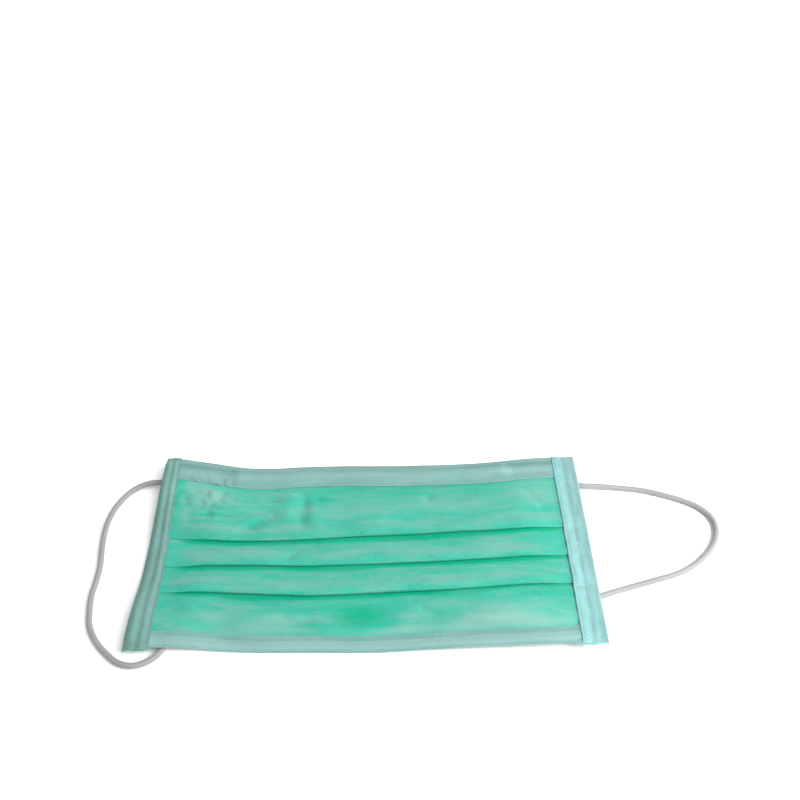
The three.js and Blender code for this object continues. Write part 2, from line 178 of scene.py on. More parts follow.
# Heights of the middle of the cloth: in the lowest, middle and top layer of a pleat, below a fold's edge, and under
# a hem
LOW = 0.0003
MIDDLE = 0.00165
HIGH = 0.003
UNDER_FOLD = 0.00115
UNDER_HEM = 0.00075

# How far the upper cloth can be pushed in at most, and what share of the room under it that can take up
DEEPEST = 0.0008
ROOM_TAKEN = 0.8

# Towards the tapes the layers keep this share of their height, from this far off, and inside them lose more of it
PINCH = 0.42
PINCH_REACH = 0.019
WELD_LOSS = 0.45

# The layers rise onto the tape's lower ply over this distance, and end inside the tape
STEP_REACH = 0.003
WELDED_END = MASK_RIGHT - 0.0018

# The nose wire's middle line, and its top on the flat mask
WIRE_LINE = ((-0.055, 0.039), (-0.037, 0.039), (-0.015, 0.0397), (0.008, 0.0399), (0.055, 0.0399))
WIRE_TOP = 0.0023

# Rows of welded dots, by their distance from a hem's folded edge, or on a tape by their share of its width
DOT_LENGTH = 0.001
DOT_WIDTH = 0.0007
DOT_PITCH = 0.0017
TOP_HEM_WELDS = (0.0022, 0.0111)
BOTTOM_HEM_WELDS = (0.003, 0.0052)
TAPE_WELDS = (0.1, 0.46, 0.88)


def eased(value, start, full):
    """A smooth ramp from 0 at start to 1 at full, in either direction."""
    share = np.clip((value - start) / (full - start), 0, 1)
    return share * share * (3 - 2 * share)


def band(value, middle, half_width):
    """1 in the middle, falling off smoothly to both sides."""
    return np.exp(-(((value - middle) / half_width) ** 2))


def hill(x, y, middle_x, middle_y, reach_x, reach_y, steepness=1):
    """1 in the middle, falling off smoothly all round, and more abruptly if steeper."""
    return np.exp(-((((x - middle_x) / reach_x) ** 2 + ((y - middle_y) / reach_y) ** 2) ** steepness))


def line_at(points, x, reach=0.006):
    """y on the line through points, rounded off over the reach to both sides."""
    xs, ys = zip(*points)
    return np.mean([np.interp(x + offset, xs, ys) for offset in np.linspace(-reach, reach, 7)], axis=0)


def lay(x, y):
    """How far the flat mask is lifted off the table at a place."""
    total = 0
    for curl in CURLS:
        across = eased(y, *curl["y"]) if "y" in curl else 1
        total = total + curl["rise"] * eased(x, *curl["x"]) * across
    return total


def ripple(x, y, size, seed):
    """Smooth noise from -1 to 1 with bumps of about that size."""
    x, y = np.broadcast_arrays(x, y)
    values = [noise.noise(Vector((a / size, b / size, seed))) for a, b in zip(x.ravel(), y.ravel())]
    return np.array(values).reshape(x.shape)


def from_line(points, x, y):
    """Distance of each place from a line through points, and the share of the line before its nearest point."""
    lengths = [math.dist(a, b) for a, b in zip(points, points[1:])]
    nearest, share, passed = np.full(x.shape, np.inf), np.zeros(x.shape), 0.0
    for (x0, y0), (x1, y1), length in zip(points, points[1:], lengths):
        along = np.clip(((x - x0) * (x1 - x0) + (y - y0) * (y1 - y0)) / length**2, 0, 1)
        distance = np.hypot(x - x0 - along * (x1 - x0), y - y0 - along * (y1 - y0))
        closer = distance < nearest
        nearest = np.where(closer, distance, nearest)
        share = np.where(closer, (passed + along * length) / sum(lengths), share)
        passed += length
    return nearest, share


def crumple(x, y):
    """How far the upper cloth stands up at a place: bulges, creases, long streaks and fine ripples."""
    x = x + 0.001 * ripple(x, y, 0.009, 21.3)
    y = y + 0.0008 * ripple(x, y, 0.007, 33.9)
    swells = 0.00045 * ripple(x, y * 1.6, 0.022, 3.1)
    ripples = 0.00016 * ripple(x, y * 1.4, 0.007, 8.7)
    streaks = 0.0003 * ripple(x * 0.16, y, 0.0034, 15.4)
    total = swells + ripples + streaks
    coarse, fine = ripple(x, y, 0.004, 61.0), ripple(x, y, 0.0022, 67.0)
    for middle_x, middle_y, reach, rise in PUCKERS:
        total = total + rise * hill(x, y, middle_x, middle_y, reach, reach) * (coarse + 0.4 * fine)
    for *place_and_reach, rise in BULGES:
        total = total + rise * hill(x, y, *place_and_reach)
    for points, half_width, rise in CREASES:
        distance, share = from_line(points, x, y)
        taper = np.clip(4 * share * (1 - share) + 0.25, 0, 1)
        total = total + 1.25 * rise * taper * band(distance, 0, half_width)
    return total


def dots(along, across, rows):
    """1 in the middle of each welded dot of the given rows, and 0 between them."""
    total = 0
    for number, place in enumerate(rows):
        shifted = along / DOT_PITCH + 0.5 * (number % 2)
        from_dot = (shifted - np.round(shifted)) * DOT_PITCH
        u, v = from_dot / (DOT_LENGTH / 2), (across - place) / (DOT_WIDTH / 2)
        total = np.maximum(total, np.exp(-((u * u + v * v) ** 2)))
    return total


def pressed_together(sizes, x, w, half):
    """Heights w of a layer half as thick as given, pressed down towards the tapes and laid on their lower ply."""
    from_middle = np.abs(x)
    keep = PINCH + (1 - PINCH) * eased(from_middle, PANEL_END, PANEL_END - PINCH_REACH)
    keep = keep * (1 - WELD_LOSS * eased(from_middle, PANEL_END, WELDED_END))
    step = sizes.tape_thickness * eased(from_middle, PANEL_END - STEP_REACH, TAPE_INNER)
    return half + (w - half) * keep + step


def off_the_tapes(x, left, right):
    """1 on the open cloth, easing to 0 at the tapes over these distances at the left and the right end."""
    return eased(x, -PANEL_END, left - PANEL_END) * eased(x, PANEL_END, PANEL_END - right)


class FoldedCloth:
    """The middle surface of the folded panel on the flat mask: y and w by station (rows) and place along X
    (columns). painted_shade says how much painted shade the cloth gets there or, below 0, painted highlight."""

    # How far the panel's edges lie inside the mask's far and near edge
    far_inset, near_inset = 0.0016, 0.0014
    # The upper layer stays at least this far off a fold's hidden layers
    layer_gap = 0.00012
    # Distances off the left and the right tape from which the cloth crumples freely, and from which the painted shade
    # beside the folds is full
    free_from, deep_from = (0.003, 0.004), (0.009, 0.004)

    def __init__(self, sizes, xs):
        self.xs = xs
        self.far, self.near = line_at(FAR_EDGE, xs), line_at(NEAR_EDGE, xs)
        self.y, self.w = [self.far - self.far_inset], [np.full_like(xs, UNDER_HEM)]
        self.seen, self.loose, self.painted_shade, self.over = [True], [0.0], [0.0], [False]
        radius = (HIGH - MIDDLE) / 2
        hem_line = self.far - sizes.top_hem_height
        self.run(hem_line, UNDER_HEM, 9)
        self.run(hem_line - 0.005, UNDER_HEM + 0.0004, 5, loose=(0, 1))
        for number, points in enumerate(FOLD_EDGES):
            edge = line_at(points, xs)
            back = edge + sizes.pleat_depth
            # The pale shares paint a highlight on the middle of the first band and of each band before its fold's edge
            if number == 0:
                self.run(back + 0.0004, HIGH - 0.0003, 18, loose=(1, 1), pale=0.4)
            else:
                self.run(back + 0.0002, HIGH - 0.0007, 7, loose=(0, 1), over=True)
            self.run(edge + radius, HIGH, 15, bulge=0.00055, loose=(1, 1), pale=0.45, over=True)
            self.turn(edge + radius, (HIGH + MIDDLE) / 2, radius, -1)
            self.run(back - radius, MIDDLE, 6, seen=False)
            self.turn(back - radius, (MIDDLE + LOW) / 2, radius, 1)
            self.run(edge + 0.0040, LOW, 4, seen=False)
            self.run(edge + 0.0006, UNDER_FOLD, 4, seen=False)
            self.run(edge - 0.0006, UNDER_FOLD, 3)
            # Painted shade just below the fold's edge, fading out over the next stations
            self.painted_shade[-4:] = [1.0, 1.0, 1.0, 1.0]
            self.run(edge - 0.0026, UNDER_FOLD + 0.0002, 5)
            self.painted_shade[-5:] = [0.95, 0.80, 0.55, 0.30, 0.12]
        chin_line = self.near + sizes.bottom_hem_height
        self.run(edge - 0.0075, UNDER_HEM + 0.0007, 6, loose=(0, 1))
        # Painted highlight on the cloth's bulge above the chin hem
        self.run(chin_line + 0.0045, UNDER_HEM + 0.0005, 10, loose=(1, 1), pale=0.3)
        self.run(chin_line, UNDER_HEM, 6, loose=(1, 0), pale=0.7)
        self.run(self.near + self.near_inset, UNDER_HEM, 6)
        self.crumple_and_press(sizes)
        self.tint()

    def crumple_and_press(self, sizes):
        """Crumples the loose cloth and presses all layers together at the tapes."""
        y, w = np.array(self.y), np.array(self.w)
        x = np.broadcast_to(self.xs, y.shape)
        loose = np.array(self.loose)[:, None] * off_the_tapes(x, *self.free_from)
        half = sizes.cloth_thickness / 2
        over_fold = MIDDLE + sizes.cloth_thickness + self.layer_gap
        floor = np.where(np.array(self.over)[:, None], over_fold, half)
        w = w + np.maximum(crumple(x, y), -np.clip(ROOM_TAKEN * (w - floor), 0, DEEPEST)) * loose
        self.y, self.w = y, pressed_together(sizes, x, w, half)

    def tint(self):
        """Adds the painted shade and highlight patches to the painted shade beside the folds, which fades at the
        tapes.
        """
        x, y = np.broadcast_to(self.xs, self.y.shape), self.y
        painted_shade = np.repeat(np.array(self.painted_shade)[:, None], len(self.xs), axis=1) * off_the_tapes(x, *self.deep_from)
        shown = np.array(self.seen)[:, None] * off_the_tapes(x, *self.free_from)
        for *place_and_reach, share in SHADE_PATCHES:
            painted_shade = painted_shade + (share - painted_shade) * hill(x, y, *place_and_reach, steepness=1.4) * shown
        # The painted highlight lies in uneven patches
        patchy = 0.7 + 1.1 * ripple(x * 0.4, y, 0.008, 51.0)
        self.painted_shade = np.where(painted_shade < 0, painted_shade * np.maximum(patchy, 0), painted_shade)

    def run(self, y_to, w_to, count, bulge=0.0, loose=(0, 0), pale=0.0, seen=True, over=False):
        """Straight on to y_to, easing to the height w_to. loose says how freely the cloth crumples at both ends, pale
        how much painted highlight it gets in between, and over whether it lies over a fold's hidden layers."""
        y_from, w_from = self.y[-1], self.w[-1]
        for share in np.arange(1, count + 1) / count:
            self.y.append(y_from + (y_to - y_from) * share)
            self.w.append(w_from + (w_to - w_from) * eased(share, 0, 1) + bulge * math.sin(math.pi * share**2))
            self.loose.append(loose[0] + (loose[1] - loose[0]) * eased(share, 0, 1))
            self.painted_shade.append(-pale * math.sin(math.pi * share))
            self.seen.append(seen)
            self.over.append(over)

    def turn(self, y, w, radius, side):
        """Half a turn down to the next layer, on the given side of (y, w)."""
        for degrees in (67, 45, 22, 0, -22, -45, -67, -90):
            angle = math.radians(degrees)
            self.y.append(y + side * radius * math.cos(angle))
            self.w.append(np.full_like(self.xs, w + radius * math.sin(angle)))
            self.loose.append((1 + math.sin(angle)) / 2 if side < 0 else 0.0)
            # Painted shade on the lower half of the fold's front
            self.painted_shade.append(1 - eased(degrees, -45, 30) if side < 0 else 0.0)
            self.seen.append(side < 0 and degrees > 30)
            self.over.append(True)

    def top_at(self, column, y):
        """Height of the middle of the topmost layer at y, in one column."""
        shown = np.flatnonzero(self.seen)
        ys, ws = self.y[shown, column], self.w[shown, column]
        order = np.argsort(ys)
        return np.interp(y, ys[order], ws[order])


class FoldedHem:
    """The middle surface of a strip folded over the far (out 1) or near (out -1) edge of a FoldedCloth."""

    # Rows of the fold and of the upper ply, after those of the lower ply
    fold, above = slice(14, 21), slice(21, None)
    radius = 0.00055
    # The upper ply's clearance from the panel
    gap = 0.00003
    # The ridge over the nose wire: where it starts before the wire's middle and peaks behind it, how far it stands off
    # the wire, its slope across the wire, and how far that goes
    ridge_start, ridge_peak, ridge_gap, ridge_slope, ridge_reach = 0.0018, 0.0024, 0.00022, 0.13, 0.0042
    # The soft roll along the bottom hem: distance from the folded edge, half width, rise
    roll_middle, roll_width, roll_rise = 0.0016, 0.0011, 0.0005
    # The gutter that a row of dots is pressed into: half width, depth
    gutter_width, gutter_depth = 0.001, 0.00026

    def __init__(self, sizes, cloth, out):
        xs = cloth.xs
        height = sizes.top_hem_height if out > 0 else sizes.bottom_hem_height
        edge = (cloth.far if out > 0 else cloth.near) + out * 0.00015 * ripple(xs, xs * 0, 0.012, 4.4 + out)
        ply, radius = sizes.tape_thickness, self.radius
        inward = np.concatenate(
            [np.linspace(height, radius, 14), [radius] * 7, np.arange(1, 28) / 27 * (height - radius) + radius]
        )
        angle = np.radians(np.linspace(-90, 90, 9))[1:-1]
        self.y = edge - out * inward[:, None]
        self.y[self.fold] = edge - out * (radius - radius * np.cos(angle))[:, None]
        w = np.full_like(self.y, ply / 2)
        w[self.fold] = (ply / 2 + radius * (1 + np.sin(angle)))[:, None]
        x = np.broadcast_to(xs, self.y.shape)
        w = pressed_together(sizes, x, w, ply / 2)

        top = inward[self.above][:, None]
        y = self.y[self.above]
        under = np.stack([cloth.top_at(i, y[:, i]) for i in range(len(xs))], axis=1)
        close = under + sizes.cloth_thickness / 2 + ply / 2 + self.gap
        rim = w[self.above.start - 1]
        upper = rim + (close - rim) * eased(top, radius, 0.45 * height)
        free = eased(np.abs(xs), PANEL_END, PANEL_END - 0.008)
        past_fold = eased(top, radius, 0.003)
        upper = upper + 0.00022 * ripple(xs[None, :], y * 2, 0.013, 6.2) ** 2 * past_fold * free
        upper = upper + 0.8 * np.maximum(crumple(x[self.above], y), 0) * past_fold * free
        if out > 0:
            reach = -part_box("nose_wire")[0].x
            along = eased(np.abs(xs), reach + 0.007, reach)
            wire = line_at(WIRE_LINE, xs)
            across = eased(y, edge - radius, wire + self.ridge_peak)
            across = across * eased(y, edge - height, wire - self.ridge_start)
            slope = self.ridge_slope * np.clip(y - wire + self.ridge_start, 0, self.ridge_reach)
            over_wire = WIRE_TOP + ply / 2 + self.ridge_gap + slope
            upper = upper + np.maximum(over_wire - upper, 0) * across * along
        else:
            upper = upper + self.roll_rise * band(top, self.roll_middle, self.roll_width) * free
        welds = TOP_HEM_WELDS if out > 0 else BOTTOM_HEM_WELDS
        spots = dots(xs[None, :], top, welds)
        # Painted shade and highlight across the hem: on the top hem, shade between the folded edge and the wire's
        # ridge and a highlight over the ridge; on the bottom hem, a highlight on the roll and shade towards the inner
        # edge
        if out > 0:
            tint = 0.6 * band(top, 0.0034, 0.0018) - 0.35 * band(top, 0.0074, 0.0014)
        else:
            tint = 0.25 * eased(top, 0.0036, 0.0052) - 0.65 * band(top, 0.0022, 0.0021)
        # welded puts the hem's own dots over this painted shade and highlight, and painted shade on the folded edge
        self.welded = np.zeros_like(w)
        self.welded[self.above] = tint + 0.55 * (0.35 - tint) * spots
        self.welded[self.fold] = 0.5 if out > 0 else 0.1
        gutter = sum(band(top, place, self.gutter_width) for place in welds)
        w[self.above] = upper - (sizes.weld_depth * spots + self.gutter_depth * gutter) * free
        self.w = w

    def top_at(self, column, y):
        """Height of the middle of the upper ply at y, in one column, or 0 off the hem."""
        ys, ws = self.y[self.above, column], self.w[self.above, column]
        order = np.argsort(ys)
        return np.interp(y, ys[order], ws[order], left=0.0, right=0.0)


def smooth_object(name, points, faces, materials, place, pressed):
    """A smooth object. place gives each point's two distances on the cloth, and pressed how much painted shade it gets
    (below 0, painted highlight), weld dots and grooves included: the materials use both."""
    mesh = bpy.data.meshes.new(name)
    mesh.from_pydata(points.tolist(), [], faces)
    mesh.polygons.foreach_set("use_smooth", np.ones(len(faces), bool))
    for material in materials:
        mesh.materials.append(material)
    corners = np.empty(len(mesh.loops), np.int32)
    mesh.loops.foreach_get("vertex_index", corners)
    layer = mesh.uv_layers.new(name="cloth")
    layer.uv.foreach_set("vector", place[corners].astype(np.float32).ravel())
    attribute = mesh.attributes.new("pressed", "FLOAT", "POINT")
    attribute.data.foreach_set("value", pressed.astype(np.float32).ravel())
    made = bpy.data.objects.new(name, mesh)
    bpy.context.scene.collection.objects.link(made)
    return made


def cloth_object(name, middle, thickness, along, across, outer, inner, pressed):
    """A closed piece of cloth around a grid of points (rows, columns, 3), with its outer side where rows x columns
    points. along and across are distances on the cloth."""
    down = np.gradient(middle, axis=0)
    right = np.gradient(middle, axis=1)
    normal = np.cross(down, right)
    normal /= np.linalg.norm(normal, axis=2, keepdims=True)
    rows, columns = middle.shape[:2]
    half = normal * thickness / 2
    points = np.concatenate([(middle + half).reshape(-1, 3), (middle - half).reshape(-1, 3)])
    index = np.arange(rows * columns).reshape(rows, columns)
    a, b, c, d = index[:-1, :-1], index[1:, :-1], index[1:, 1:], index[:-1, 1:]
    upper = np.stack([a, b, c, d], axis=-1).reshape(-1, 4)
    lower = upper[:, ::-1] + rows * columns
    border = np.concatenate([index[0, ::-1], index[1:, 0], index[-1, 1:], index[-2:0:-1, -1]])
    following = np.roll(border, -1)
    rim = np.stack([following, border, border + rows * columns, following + rows * columns], axis=-1)
    faces = np.concatenate([upper, lower, rim])
    place = np.stack([np.broadcast_to(along, (rows, columns)), np.broadcast_to(across, (rows, columns))], axis=-1)
    place = np.concatenate([place.reshape(-1, 2)] * 2)
    pressed = np.concatenate([pressed.ravel()] * 2)
    made = smooth_object(name, points, faces.tolist(), (outer, inner), place, pressed)
    sides = np.concatenate([np.zeros(len(upper), int), np.ones(len(lower), int), np.zeros(len(rim), int)])
    made.data.polygons.foreach_set("material_index", sides)
    made.data.validate()
    made.data.update()
    return made


def stand_for(piece, node):
    """Puts a piece in the place of its solid."""
    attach(piece, "root")
    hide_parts(node)


def arc_length(first, second):
    """Distance along each column of a grid, from its first row."""
    steps = np.hypot(np.diff(first, axis=0), np.diff(second, axis=0))
    return np.concatenate([np.zeros((1, first.shape[1])), np.cumsum(steps, axis=0)])


def blend(t, first, second, start, end):
    """On the straight way from the first value at t = start to the second at t = end."""
    return (end - t) / (end - start) * first + (t - start) / (end - start) * second


def smooth_route(points, pitch):
    """Points about a pitch apart on the centripetal curve through a route, and their distance from its start."""
    route = np.array(points)
    route = np.vstack([2 * route[0] - route[1], route, 2 * route[-1] - route[-2]])
    knots = np.concatenate([[0], np.cumsum(np.linalg.norm(np.diff(route, axis=0), axis=1) ** 0.5)])
    dense = []
    for i in range(1, len(route) - 2):
        ends, knot = route[i - 1 : i + 3], knots[i - 1 : i + 3]
        t = np.linspace(knot[1], knot[2], 40, endpoint=False)[:, None]
        singles = [blend(t, *ends[k : k + 2], *knot[k : k + 2]) for k in range(3)]
        pairs = [blend(t, *singles[k : k + 2], knot[k], knot[k + 2]) for k in range(2)]
        dense.append(blend(t, *pairs, knot[1], knot[2]))
    dense = np.vstack([*dense, route[-2]])
    distance = np.concatenate([[0], np.cumsum(np.linalg.norm(np.diff(dense, axis=0), axis=1))])
    even = np.linspace(0, distance[-1], round(distance[-1] / pitch) + 1)
    return np.stack([np.interp(even, distance, dense[:, k]) for k in range(3)], axis=1), even


class Recipe:
    """Adds nodes to a material, so that it can be written as a formula."""

    def __init__(self, name):
        self.material = bpy.data.materials.new(name)
        self.material.use_nodes = True
        self.nodes, self.links = self.material.node_tree.nodes, self.material.node_tree.links
        self.shader = self.nodes["Principled BSDF"]

    def node(self, kind, inputs=(), **settings):
        made = self.nodes.new("ShaderNode" + kind)
        for key, value in settings.items():
            setattr(made, key, value)
        for key, value in dict(inputs).items():
            self.set(made, key, value)
        return made

    def set(self, node, key, value):
        if isinstance(value, bpy.types.NodeSocket):
            self.links.new(value, node.inputs[key])
        else:
            node.inputs[key].default_value = value

    def finish(self, **values):
        """Sets the shader's inputs by name, with spaces written as underscores."""
        for key, value in values.items():
            self.set(self.shader, key.replace("_", " "), value)
        return self.material

    def calculate(self, operation, *values):
        return self.node("Math", dict(enumerate(values)), operation=operation).outputs[0]

    def cloth_place(self, turned=0.0):
        """Distance on the cloth, turned by some degrees."""
        place = self.node("UVMap", uv_map="cloth").outputs[0]
        rotation = (0.0, 0.0, math.radians(turned))
        return self.node("Mapping", {"Vector": place, "Rotation": rotation}).outputs[0]

    def stretched(self, place, along, across):
        """The place with its two directions scaled, to draw patterns out along one of them."""
        return self.node("Mapping", {"Vector": place, "Scale": (along, across, 1.0)}).outputs[0]

    def cloud(self, place, size, detail=3.0, roughness=0.55):
        """Noise from 0 to 1 with patches of about that size."""
        inputs = {"Vector": place, "Scale": 1 / size, "Detail": detail, "Roughness": roughness}
        return self.node("TexNoise", inputs).outputs["Fac"]

    def between(self, value, low, high):
        """A smooth step of a value, from 0 at low to 1 at high."""
        inputs = {"Value": value, "From Min": low, "From Max": high}
        return self.node("MapRange", inputs, interpolation_type="SMOOTHSTEP").outputs[0]

    def mixed(self, share, first, second):
        """A share of the second colour over the first. Either is a colour or the result of another step."""
        made = self.node("Mix", {0: share}, data_type="RGBA")
        for socket, colour in ((6, first), (7, second)):
            self.set(made, socket, colour if isinstance(colour, bpy.types.NodeSocket) else (*colour, 1.0))
        return made.outputs[2]

    def bumped(self, height, relief):
        return self.node("Bump", {"Height": height, "Distance": relief, "Strength": 1.0}).outputs[0]


def shade(colour, factor):
    """A colour made lighter or darker."""
    return tuple(min(1.0, channel * factor) for channel in colour)


def bonded_cloth(name, colour, deep, pale, weld_and_shade_share=0.4):
    """Spun-bonded cloth: fine matted fibres held by a lattice of small melted bond points."""
    bond_pitch, roughness = 0.0013, 0.72
    recipe = Recipe(name)
    flat, diagonal = recipe.cloth_place(), recipe.cloth_place(45)
    lattice = recipe.node("TexVoronoi", {"Vector": diagonal, "Scale": 1 / bond_pitch, "Randomness": 0.0})
    bond = recipe.between(lattice.outputs["Distance"], 0.34, 0.20)
    patches = recipe.between(recipe.cloud(flat, 0.030, 2.0), 0.35, 0.68)
    streaks = recipe.between(recipe.cloud(recipe.stretched(flat, 0.2, 1.0), 0.0042, 3.0), 0.42, 0.72)
    clumps = recipe.between(recipe.cloud(flat, 0.0022, 5.0, 0.65), 0.30, 0.72)
    fibres = recipe.cloud(recipe.stretched(recipe.cloth_place(28), 1.0, 5.0), 0.0011, 4.0, 0.7)
    cross = recipe.cloud(recipe.stretched(recipe.cloth_place(-37), 1.0, 5.0), 0.0011, 4.0, 0.7)
    matted = recipe.calculate("MULTIPLY_ADD", fibres, 0.5, recipe.calculate("MULTIPLY", cross, 0.5))
    # pressed carries the weld dots and grooves, the painted shade and, below 0, the painted highlight: it mixes in the
    # deep or the pale colour
    pressed = recipe.node("Attribute", attribute_name="pressed").outputs["Fac"]

    body = recipe.mixed(patches, shade(colour, 0.93), shade(colour, 1.05))
    for pattern, strength, tint in (
        (streaks, 0.45, pale),
        (clumps, 0.22, pale),
        (bond, 0.16, deep),
        (pressed, -1.0, pale),
        (pressed, weld_and_shade_share, deep),
    ):
        body = recipe.mixed(recipe.calculate("MULTIPLY", pattern, strength), body, tint)
    height = recipe.calculate("MULTIPLY_ADD", bond, -0.35, matted)
    # Specular and sheen are lowered on the dots and in the painted shade
    off_welds_and_shade = recipe.between(pressed, 1.0, 0.1)
    return recipe.finish(
        Base_Color=body,
        Roughness=recipe.calculate("MULTIPLY_ADD", bond, -0.15, roughness),
        Normal=recipe.bumped(height, 0.0001),
        Specular_IOR_Level=recipe.calculate("MULTIPLY", off_welds_and_shade, 0.30),
        Sheen_Weight=recipe.calculate("MULTIPLY", off_welds_and_shade, 0.22),
        Sheen_Roughness=0.45,
        Subsurface_Weight=0.6,
        Subsurface_Radius=(0.3, 1.0, 0.8),
        Subsurface_Scale=0.0012,
    )


def lining_cloth(name, colours):
    """The white cloth of the wearer's side."""
    return bonded_cloth(name, colours.lining, shade(colours.lining, 0.85), shade(colours.lining, 1.1))


def knitted_elastic(name, colour):
    """Knitted yarn: the grooves between the stitches get painted shade, and fine threads run along each stitch."""
    recipe = Recipe(name)
    place = recipe.cloth_place()
    groove = recipe.node("Attribute", attribute_name="pressed").outputs["Fac"]
    fuzz = recipe.cloud(place, 0.00035, 4.0, 0.7)
    along = recipe.cloud(place, 0.018, 2.0)
    body = recipe.mixed(recipe.between(along, 0.35, 0.65), shade(colour, 0.94), shade(colour, 1.05))
    # Painted shade in the grooves between the stitches
    body = recipe.mixed(recipe.calculate("MULTIPLY", groove, 0.6), body, shade(colour, 0.55))
    threads = recipe.node(
        "TexWave",
        {"Vector": place, "Scale": 700.0, "Distortion": 3.0, "Detail": 2.0},
        bands_direction="DIAGONAL",
    ).outputs["Fac"]
    height = recipe.calculate("MULTIPLY_ADD", threads, 0.6, fuzz)
    return recipe.finish(
        Base_Color=body,
        Roughness=recipe.calculate("MULTIPLY_ADD", fuzz, 0.2, 0.7),
        Normal=recipe.bumped(height, 0.00006),
        Sheen_Weight=0.35,
        Sheen_Roughness=0.4,
    )


def coated_strip(name, colour):
    """The nose wire's smooth plastic coat, faintly mottled."""
    recipe = Recipe(name)
    place = recipe.node("TexCoord").outputs["Object"]
    mottle = recipe.cloud(place, 0.004, 3.0)
    body = recipe.mixed(mottle, shade(colour, 0.94), shade(colour, 1.03))
    return recipe.finish(
        Base_Color=body,
        Roughness=recipe.calculate("MULTIPLY_ADD", mottle, 0.2, 0.35),
        Normal=recipe.bumped(recipe.cloud(place, 0.0009, 3.0), 0.00002),
    )


def table_surface(name, colour):
    """A plain pale table, very faintly uneven."""
    recipe = Recipe(name)
    place = recipe.node("TexCoord").outputs["Object"]
    body = recipe.mixed(recipe.cloud(place, 0.30, 2.0), shade(colour, 0.99), shade(colour, 1.0))
    return recipe.finish(
        Base_Color=body,
        Roughness=recipe.calculate("MULTIPLY_ADD", recipe.cloud(place, 0.004, 3.0), 0.2, 0.6),
        Specular_IOR_Level=0.2,
    )


def colour_property(name, description, default):
    return FloatVectorProperty(
        name=name, description=description, subtype="COLOR", size=3, min=0.0, max=1.0, default=default
    )


def length_property(name, description, default):
    return FloatProperty(name=name, description=description, default=default, min=0.0, unit="LENGTH", precision=5)


class MaskSizes(bpy.types.PropertyGroup):
    """Sizes of the mask's cloth and cords."""

    cloth_thickness: length_property("Cloth Thickness", "Thickness of the panel's plies together", 0.00036)
    tape_thickness: length_property("Tape Thickness", "Thickness of one ply of the hems and edge tapes", 0.00030)
    pleat_depth: length_property("Pleat Depth", "How far each pleat is folded under", 0.0080)
    top_hem_height: length_property("Top Hem Height", "Height of the hem along the nose edge", 0.0120)
    bottom_hem_height: length_property("Bottom Hem Height", "Height of the hem along the chin edge", 0.0065)
    weld_depth: length_property("Weld Depth", "How deep the welded dots are pressed in", 0.00016)
    cord_diameter: length_property("Cord Diameter", "Diameter of the elastic ear loops", 0.0024)
    stitch_relief: length_property("Stitch Relief", "Depth of the grooves between the cord's stitches", 0.00014)


class MaskColours(bpy.types.PropertyGroup):
    """Colours of the mask's cloth and cords."""

    panel: colour_property("Panel", "Outer cloth of the pleated panel", (0.007, 0.335, 0.238))
    # panel_bonds_and_shade colours the bond points and the painted shade beside the folds and in the shaded patches;
    # panel_fibres_and_highlight the loose fibres and the painted highlights
    panel_bonds_and_shade: colour_property("Panel Bond Points", "Melted points of the outer cloth", (0.001, 0.292, 0.158))
    panel_fibres_and_highlight: colour_property("Panel Fibres", "Loose fibres of the outer cloth", (0.166, 0.346, 0.300))
    lining: colour_property("Lining", "Inner cloth, on the wearer's side", (0.640, 0.700, 0.680))
    hem: colour_property("Hems", "Top and bottom hem", (0.138, 0.287, 0.264))
    # hem_fibres_and_highlight colours the hems' fibres and their painted highlights
    hem_fibres_and_highlight: colour_property("Hem Fibres", "Loose fibres of the hems", (0.220, 0.370, 0.355))
    # Both ends carry one and the same tape: the left colour is darker as painted shade, the right paler as painted
    # light
    tape_left_shaded: colour_property("Left Tape", "Edge tape at the left end", (0.130, 0.284, 0.250))
    tape_right_lit: colour_property("Right Tape", "Edge tape at the right end", (0.186, 0.384, 0.376))
    elastic: colour_property("Elastic", "Knitted cord of the ear loops", (0.272, 0.274, 0.285))
    wire: colour_property("Nose Wire", "Plastic coat of the nose wire", (0.720, 0.740, 0.700))
    table: colour_property("Table", "Surface that the mask lies on", (0.970, 0.970, 0.970))


